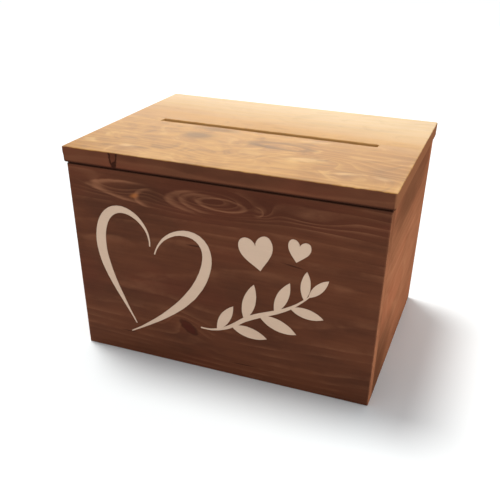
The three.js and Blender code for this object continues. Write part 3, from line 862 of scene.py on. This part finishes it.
def add_hinge_leaf(side, part, body, material):
    """A stamped leaf: a plate with countersunk holes whose edge is rolled into knuckles round the pin."""
    node = f"{side}_hinge_{part}_leaf"
    low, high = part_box(node)
    up = 1 if part == "lid" else -1
    axis_y, axis_z = HINGE_AXIS.y, HINGE_AXIS.z
    face = low.y + HINGE_THICKNESS
    barrel = high.y - axis_y
    pin_low, pin_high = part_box(f"{side}_hinge_pin")
    pin = (pin_high.z - pin_low.z) / 3
    far = high.z if up > 0 else low.z
    near = axis_z + up * (axis_y - low.y + 0.3 * MM)
    leaf = rounded_plate(node + "_stamped", low.x, high.x, min(near, far), max(near, far),
                         low.y, face, 1.6 * MM, material)
    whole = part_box(f"{side}_hinge_box_leaf")
    step = (whole[1].x - whole[0].x + KNUCKLE_GAP) / KNUCKLES
    neck_end = near + up * MM
    soft = 0.25 * MM
    for index in range(0 if part == "box" else 1, KNUCKLES, 2):
        x0 = whole[0].x + index * step
        x1 = x0 + step - KNUCKLE_GAP
        neck = block("neck", (x0, low.y, min(axis_z, neck_end)), (x1, face, max(axis_z, neck_end)))
        leaf = combined(leaf, neck, "UNION")
        ring = turned("knuckle", [
            (pin * 1.07, x0), (barrel - soft, x0), (barrel, x0 + soft), (barrel, x1 - soft),
            (barrel - soft, x1), (pin * 1.07, x1), (pin * 1.07, x0)], 40, None, (1, 0, 0))
        ring.data.transform(Matrix.Translation((0, axis_y, axis_z)))
        bm = bmesh.new()
        bm.from_mesh(ring.data)
        bmesh.ops.remove_doubles(bm, verts=bm.verts, dist=1e-7)
        bmesh.ops.recalc_face_normals(bm, faces=bm.faces)
        bm.to_mesh(ring.data)
        bm.free()
        leaf = combined(leaf, ring, "UNION")
    for number in SCREWS_PER_LEAF:
        screw_low, screw_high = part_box(f"{side}_hinge_{part}_screw_{number}")
        head = (screw_high.x - screw_low.x) / 2 + 0.2 * MM
        sink = turned("sink", [
            (0, -3 * MM), (head * 0.5, -3 * MM), (head * 0.5, -1.5 * MM), (head, -0.1 * MM),
            (head, 1 * MM), (0, 1 * MM)], 32, None, (0, 1, 0))
        sink.data.transform(Matrix.Translation((
            (screw_low.x + screw_high.x) / 2, face, (screw_low.z + screw_high.z) / 2)))
        leaf = combined(leaf, sink, "DIFFERENCE")
    smooth(leaf, 30)
    placed(leaf, node, body)


def add_brad(node, material):
    """A round wire nail with a small flat head, grip rings and a diamond point."""
    low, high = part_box(node)
    sizes = high - low
    centre = (low + high) / 2
    along = max(range(3), key=lambda axis: sizes[axis])
    head_at_low = node.startswith(("front", "left_wall"))
    way = Vector([0, 0, 0])
    way[along] = -1 if head_at_low else 1
    length = sizes[along]
    wire, head = 0.6 * MM, 1.0 * MM
    profile = [(0, length / 2), (head * 0.8, length / 2), (head, length / 2 - 0.15 * MM),
               (head, length / 2 - 0.6 * MM), (wire, length / 2 - 0.9 * MM)]
    for ring in range(5):
        at = length / 2 - (2.0 + 0.8 * ring) * MM
        profile += [(wire, at), (wire * 0.9, at - 0.2 * MM), (wire, at - 0.4 * MM)]
    profile += [(wire, 2 * MM - length / 2), (0, -length / 2)]
    nail = turned(node + "_wire", profile, 16, material, way)
    nail.data.transform(Matrix.Translation(centre))
    smooth(nail, 40)
    placed(nail, node, "box")


def add_film(node, material):
    """A coat of paint on the front wall: the CAD outline, its edges softened and a little uneven."""
    film = make_object(node + "_film", frame["nodes"][node].data.copy(), None)
    film.data.materials.clear()
    film.data.materials.append(material)
    bm = bmesh.new()
    bm.from_mesh(film.data)
    bmesh.ops.remove_doubles(bm, verts=bm.verts, dist=1e-6)
    bmesh.ops.dissolve_limit(bm, angle_limit=math.radians(2), verts=bm.verts, edges=bm.edges)
    for vertex in bm.verts:
        point = Vector((vertex.co.x, 0, vertex.co.z))
        vertex.co.x += 0.25 * MM * noise.noise(point * 140)
        vertex.co.z += 0.25 * MM * noise.noise(point * 140 + Vector((7, 7, 7)))
    front = min(vertex.co.y for vertex in bm.verts)
    rim = [edge for edge in bm.edges if all(v.co.y < front + 1e-6 for v in edge.verts)]
    bmesh.ops.bevel(bm, geom=rim, offset=0.12 * MM, segments=2, affect="EDGES", clamp_overlap=True)
    bmesh.ops.triangulate(bm, faces=[face for face in bm.faces if len(face.verts) > 4])
    bm.to_mesh(film.data)
    bm.free()
    smooth(film, 50)
    placed(film, node, "box")


def brass_material():
    graph = Graph("lacquered brass")
    tarnish = graph.noise(graph.place, scale=260, detail=4.0, roughness=0.6)
    parts = graph.split(graph.place)
    brushed = graph.noise(graph.join(graph.times(parts[0], 220), graph.times(parts[1], 2400),
                                     graph.times(parts[2], 2400)), detail=2.0)
    colour = graph.mix(graph.step(tarnish, 0.46, 0.80), linear(190, 156, 96), linear(158, 122, 72))
    colour = graph.shade(colour, graph.add(0.9, graph.times(brushed, 0.2)))
    rough = graph.add(0.24, graph.times(tarnish, 0.22), graph.times(brushed, 0.08))
    graph.bump(graph.add(brushed, graph.times(tarnish, 0.5)), 0.12, 0.05 * MM)
    return graph.finish(colour, rough, Metallic=1.0)


def steel_material():
    graph = Graph("bright wire")
    drawn = graph.noise(graph.place, scale=900, detail=3.0)
    colour = graph.mix(drawn, linear(168, 166, 162), linear(120, 118, 114))
    graph.bump(drawn, 0.1, 0.03 * MM)
    return graph.finish(colour, graph.add(0.3, graph.times(drawn, 0.15)), Metallic=1.0)


def paint_material():
    """Cream paint, thin enough that the grain shows through it as fine ridges and pale streaks."""
    wood = Pine("cream paint", "+X", "+Z", "-Y", (0.115, -FRONT_FACE - PITH_DEPTH), PAINTED_RINGS, 1.3)
    fibres, streaks, blotches = wood.fibres(), wood.streaks(), wood.blotches()
    thin = wood.noise(wood.stretched(60, 340, 340, 2), detail=4.0, roughness=0.65)
    colour = wood.mix(blotches, linear(226, 196, 171), linear(212, 181, 156))
    colour = wood.mix(wood.step(thin, 0.66, 0.80, 0.0, 0.45), colour, linear(150, 112, 88))
    colour = wood.shade(colour, wood.add(0.95, wood.times(fibres, 0.06), wood.times(streaks, 0.05)))
    wood.bump(wood.add(fibres, streaks, wood.times(thin, 0.5)), 0.22, 0.2 * MM)
    return wood.finish(colour, wood.add(0.58, wood.times(streaks, 0.12)), Specular_IOR_Level=0.3)


def add_hardware():
    brass, steel = brass_material(), steel_material()
    for side in ("left", "right"):
        add_hinge_pin(f"{side}_hinge_pin", brass)
        for part, body in (("box", "box"), ("lid", "lid")):
            add_hinge_leaf(side, part, body, brass)
            for number in SCREWS_PER_LEAF:
                add_screw(f"{side}_hinge_{part}_screw_{number}", body, brass)
    for node in sorted(frame["nodes"]):
        if "brad" in node:
            add_brad(node, steel)


def add_motif():
    cream = paint_material()
    for node in sorted(frame["nodes"]):
        if node.startswith("motif"):
            add_film(node, cream)


place_camera()
light_scene()
add_floor()
add_walls()
add_lid()
add_hardware()
add_motif()
